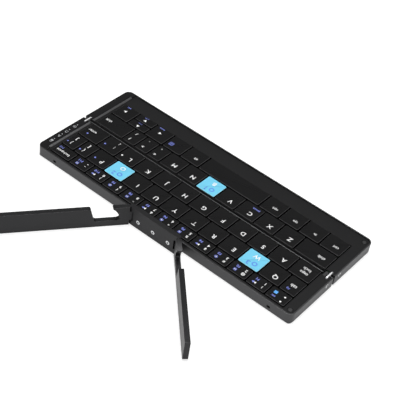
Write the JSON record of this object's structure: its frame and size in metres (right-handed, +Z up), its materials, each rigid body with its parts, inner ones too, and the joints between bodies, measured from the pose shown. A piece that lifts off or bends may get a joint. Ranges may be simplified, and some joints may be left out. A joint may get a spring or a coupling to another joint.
{
  "type": "folding keyboard",
  "caption": "Pocket keyboard in two hinged halves that fold face to face, with two swing-out arms at the back whose slots stand a phone up.",
  "frame": {"origin": "middle of the rear half's underside, on the desk", "axes": "+X towards the typist's right, +Y away from the typist, +Z up; drawn open and flat, arms swung out"},
  "size_m": [0.244, 0.1856, 0.017],
  "materials": {
    "anodised_aluminium": "dark grey anodised, fine bead-blasted",
    "stand_aluminium": "dark grey anodised, satin",
    "black_bezel": "fine moulded texture",
    "glossy_strip": "glossy black",
    "black_key": "matt moulded, slightly soft to the touch",
    "blue_key": "matt moulded",
    "clear_plastic": "clear",
    "circuit_board": "solder-masked",
    "ribbon_film": "polyimide film with a grey screening layer",
    "battery_foil": "laminated foil pouch",
    "port_steel": "tin-plated",
    "bright_steel": "bright",
    "magnet_coating": "black epoxy coating"
  },
  "bodies": {
    "rear_half": {"rear_shell": "anodised_aluminium", "rear_deck": "black_bezel", "rear_end_strip": "glossy_strip", "light_pipes": "clear_plastic", "rear_key_board": "circuit_board", "rear_hinge_pins": "bright_steel", "rear_end_screws": "bright_steel", "stand_block": "stand_aluminium", "block_screws": "bright_steel", "arm_pins": "bright_steel", "arm_magnets": "magnet_coating"},
    "links": {"hinge_links": "bright_steel", "hinge_ribbon": "ribbon_film"},
    "front_half": {"front_shell": "anodised_aluminium", "front_deck": "black_bezel", "front_end_strip": "glossy_strip", "front_key_board": "circuit_board", "main_board": "circuit_board", "battery": "battery_foil", "charge_port": "port_steel", "front_hinge_pins": "bright_steel", "front_end_screws": "bright_steel"},
    "left_stand_arm": {"left_arm": "stand_aluminium"},
    "right_stand_arm": {"right_arm": "stand_aluminium"},
    "rear_small_keys": {"rear_small_keys": "black_key"},
    "front_small_keys": {"front_small_keys": "black_key"},
    "key_escape": {"key_escape": "black_key"},
    "key_backspace": {"key_backspace": "black_key"},
    "key_tab": {"key_tab": "black_key"},
    "key_caps_lock": {"key_caps_lock": "black_key"},
    "key_enter": {"key_enter": "black_key"},
    "key_left_shift": {"key_left_shift": "black_key"},
    "key_right_shift": {"key_right_shift": "black_key"},
    "key_space": {"key_space": "black_key"},
    "key_a": {"key_a": "black_key"},
    "key_b": {"key_b": "blue_key"},
    "key_c": {"key_c": "black_key"},
    "key_d": {"key_d": "black_key"},
    "key_e": {"key_e": "black_key"},
    "key_f": {"key_f": "black_key"},
    "key_g": {"key_g": "black_key"},
    "key_h": {"key_h": "black_key"},
    "key_i": {"key_i": "black_key"},
    "key_j": {"key_j": "black_key"},
    "key_k": {"key_k": "black_key"},
    "key_l": {"key_l": "black_key"},
    "key_m": {"key_m": "black_key"},
    "key_n": {"key_n": "black_key"},
    "key_o": {"key_o": "blue_key"},
    "key_p": {"key_p": "black_key"},
    "key_q": {"key_q": "black_key"},
    "key_r": {"key_r": "black_key"},
    "key_s": {"key_s": "black_key"},
    "key_t": {"key_t": "black_key"},
    "key_u": {"key_u": "black_key"},
    "key_v": {"key_v": "black_key"},
    "key_w": {"key_w": "blue_key"},
    "key_x": {"key_x": "black_key"},
    "key_y": {"key_y": "black_key"},
    "key_z": {"key_z": "black_key"}
  },
  "joints": [
    {"name": "link_fold", "type": "hinge", "parent": "rear_half", "child": "links", "pos_m": [0, -0.0238, 0.0075], "axis": [-1, 0, 0], "range_deg": [0, 90]},
    {"name": "panel_fold", "type": "hinge", "parent": "links", "child": "front_half", "pos_m": [0, -0.0293, 0.0075], "axis": [-1, 0, 0], "range_deg": [0, 90]},
    {"name": "right_arm_swing", "type": "hinge", "parent": "rear_half", "child": "right_stand_arm", "pos_m": [0.0202, 0.0289, 0.0085], "axis": [0, 0, 1], "range_deg": [-52.5, 37.5]},
    {"name": "left_arm_swing", "type": "hinge", "parent": "rear_half", "child": "left_stand_arm", "pos_m": [-0.0232, 0.0289, 0.0085], "axis": [0, 0, -1], "range_deg": [-46, 44]},
    {"name": "press_rear_small_keys", "type": "slide", "parent": "rear_half", "child": "rear_small_keys", "axis": [0, 0, -1], "range_m": [0, 0.0014], "stiffness_N_per_m": 1500, "springref_m": -0.0006},
    {"name": "press_front_small_keys", "type": "slide", "parent": "front_half", "child": "front_small_keys", "axis": [0, 0, -1], "range_m": [0, 0.0014], "stiffness_N_per_m": 1500, "springref_m": -0.0006},
    {"name": "press_escape", "type": "slide", "parent": "rear_half", "child": "key_escape", "axis": [0, 0, -1], "range_m": [0, 0.0014], "stiffness_N_per_m": 320, "springref_m": -0.0006},
    {"name": "press_backspace", "type": "slide", "parent": "rear_half", "child": "key_backspace", "axis": [0, 0, -1], "range_m": [0, 0.0014], "stiffness_N_per_m": 320, "springref_m": -0.0006},
    {"name": "press_tab", "type": "slide", "parent": "rear_half", "child": "key_tab", "axis": [0, 0, -1], "range_m": [0, 0.0014], "stiffness_N_per_m": 320, "springref_m": -0.0006},
    {"name": "press_caps_lock", "type": "slide", "parent": "rear_half", "child": "key_caps_lock", "axis": [0, 0, -1], "range_m": [0, 0.0014], "stiffness_N_per_m": 320, "springref_m": -0.0006},
    {"name": "press_enter", "type": "slide", "parent": "rear_half", "child": "key_enter", "axis": [0, 0, -1], "range_m": [0, 0.0014], "stiffness_N_per_m": 320, "springref_m": -0.0006},
    {"name": "press_left_shift", "type": "slide", "parent": "front_half", "child": "key_left_shift", "axis": [0, 0, -1], "range_m": [0, 0.0014], "stiffness_N_per_m": 320, "springref_m": -0.0006},
    {"name": "press_right_shift", "type": "slide", "parent": "front_half", "child": "key_right_shift", "axis": [0, 0, -1], "range_m": [0, 0.0014], "stiffness_N_per_m": 320, "springref_m": -0.0006},
    {"name": "press_space", "type": "slide", "parent": "front_half", "child": "key_space", "axis": [0, 0, -1], "range_m": [0, 0.0014], "stiffness_N_per_m": 320, "springref_m": -0.0006},
    {"name": "press_a", "type": "slide", "parent": "rear_half", "child": "key_a", "axis": [0, 0, -1], "range_m": [0, 0.0014], "stiffness_N_per_m": 320, "springref_m": -0.0006},
    {"name": "press_b", "type": "slide", "parent": "front_half", "child": "key_b", "axis": [0, 0, -1], "range_m": [0, 0.0014], "stiffness_N_per_m": 320, "springref_m": -0.0006},
    {"name": "press_c", "type": "slide", "parent": "front_half", "child": "key_c", "axis": [0, 0, -1], "range_m": [0, 0.0014], "stiffness_N_per_m": 320, "springref_m": -0.0006},
    {"name": "press_d", "type": "slide", "parent": "rear_half", "child": "key_d", "axis": [0, 0, -1], "range_m": [0, 0.0014], "stiffness_N_per_m": 320, "springref_m": -0.0006},
    {"name": "press_e", "type": "slide", "parent": "rear_half", "child": "key_e", "axis": [0, 0, -1], "range_m": [0, 0.0014], "stiffness_N_per_m": 320, "springref_m": -0.0006},
    {"name": "press_f", "type": "slide", "parent": "rear_half", "child": "key_f", "axis": [0, 0, -1], "range_m": [0, 0.0014], "stiffness_N_per_m": 320, "springref_m": -0.0006},
    {"name": "press_g", "type": "slide", "parent": "rear_half", "child": "key_g", "axis": [0, 0, -1], "range_m": [0, 0.0014], "stiffness_N_per_m": 320, "springref_m": -0.0006},
    {"name": "press_h", "type": "slide", "parent": "rear_half", "child": "key_h", "axis": [0, 0, -1], "range_m": [0, 0.0014], "stiffness_N_per_m": 320, "springref_m": -0.0006},
    {"name": "press_i", "type": "slide", "parent": "rear_half", "child": "key_i", "axis": [0, 0, -1], "range_m": [0, 0.0014], "stiffness_N_per_m": 320, "springref_m": -0.0006},
    {"name": "press_j", "type": "slide", "parent": "rear_half", "child": "key_j", "axis": [0, 0, -1], "range_m": [0, 0.0014], "stiffness_N_per_m": 320, "springref_m": -0.0006},
    {"name": "press_k", "type": "slide", "parent": "rear_half", "child": "key_k", "axis": [0, 0, -1], "range_m": [0, 0.0014], "stiffness_N_per_m": 320, "springref_m": -0.0006},
    {"name": "press_l", "type": "slide", "parent": "rear_half", "child": "key_l", "axis": [0, 0, -1], "range_m": [0, 0.0014], "stiffness_N_per_m": 320, "springref_m": -0.0006},
    {"name": "press_m", "type": "slide", "parent": "front_half", "child": "key_m", "axis": [0, 0, -1], "range_m": [0, 0.0014], "stiffness_N_per_m": 320, "springref_m": -0.0006},
    {"name": "press_n", "type": "slide", "parent": "front_half", "child": "key_n", "axis": [0, 0, -1], "range_m": [0, 0.0014], "stiffness_N_per_m": 320, "springref_m": -0.0006},
    {"name": "press_o", "type": "slide", "parent": "rear_half", "child": "key_o", "axis": [0, 0, -1], "range_m": [0, 0.0014], "stiffness_N_per_m": 320, "springref_m": -0.0006},
    {"name": "press_p", "type": "slide", "parent": "rear_half", "child": "key_p", "axis": [0, 0, -1], "range_m": [0, 0.0014], "stiffness_N_per_m": 320, "springref_m": -0.0006},
    {"name": "press_q", "type": "slide", "parent": "rear_half", "child": "key_q", "axis": [0, 0, -1], "range_m": [0, 0.0014], "stiffness_N_per_m": 320, "springref_m": -0.0006},
    {"name": "press_r", "type": "slide", "parent": "rear_half", "child": "key_r", "axis": [0, 0, -1], "range_m": [0, 0.0014], "stiffness_N_per_m": 320, "springref_m": -0.0006},
    {"name": "press_s", "type": "slide", "parent": "rear_half", "child": "key_s", "axis": [0, 0, -1], "range_m": [0, 0.0014], "stiffness_N_per_m": 320, "springref_m": -0.0006},
    {"name": "press_t", "type": "slide", "parent": "rear_half", "child": "key_t", "axis": [0, 0, -1], "range_m": [0, 0.0014], "stiffness_N_per_m": 320, "springref_m": -0.0006},
    {"name": "press_u", "type": "slide", "parent": "rear_half", "child": "key_u", "axis": [0, 0, -1], "range_m": [0, 0.0014], "stiffness_N_per_m": 320, "springref_m": -0.0006},
    {"name": "press_v", "type": "slide", "parent": "front_half", "child": "key_v", "axis": [0, 0, -1], "range_m": [0, 0.0014], "stiffness_N_per_m": 320, "springref_m": -0.0006},
    {"name": "press_w", "type": "slide", "parent": "rear_half", "child": "key_w", "axis": [0, 0, -1], "range_m": [0, 0.0014], "stiffness_N_per_m": 320, "springref_m": -0.0006},
    {"name": "press_x", "type": "slide", "parent": "front_half", "child": "key_x", "axis": [0, 0, -1], "range_m": [0, 0.0014], "stiffness_N_per_m": 320, "springref_m": -0.0006},
    {"name": "press_y", "type": "slide", "parent": "rear_half", "child": "key_y", "axis": [0, 0, -1], "range_m": [0, 0.0014], "stiffness_N_per_m": 320, "springref_m": -0.0006},
    {"name": "press_z", "type": "slide", "parent": "front_half", "child": "key_z", "axis": [0, 0, -1], "range_m": [0, 0.0014], "stiffness_N_per_m": 320, "springref_m": -0.0006}
  ],
  "couplings": [
    {"joint": "panel_fold", "follows": "link_fold", "ratio": 1}
  ]
}
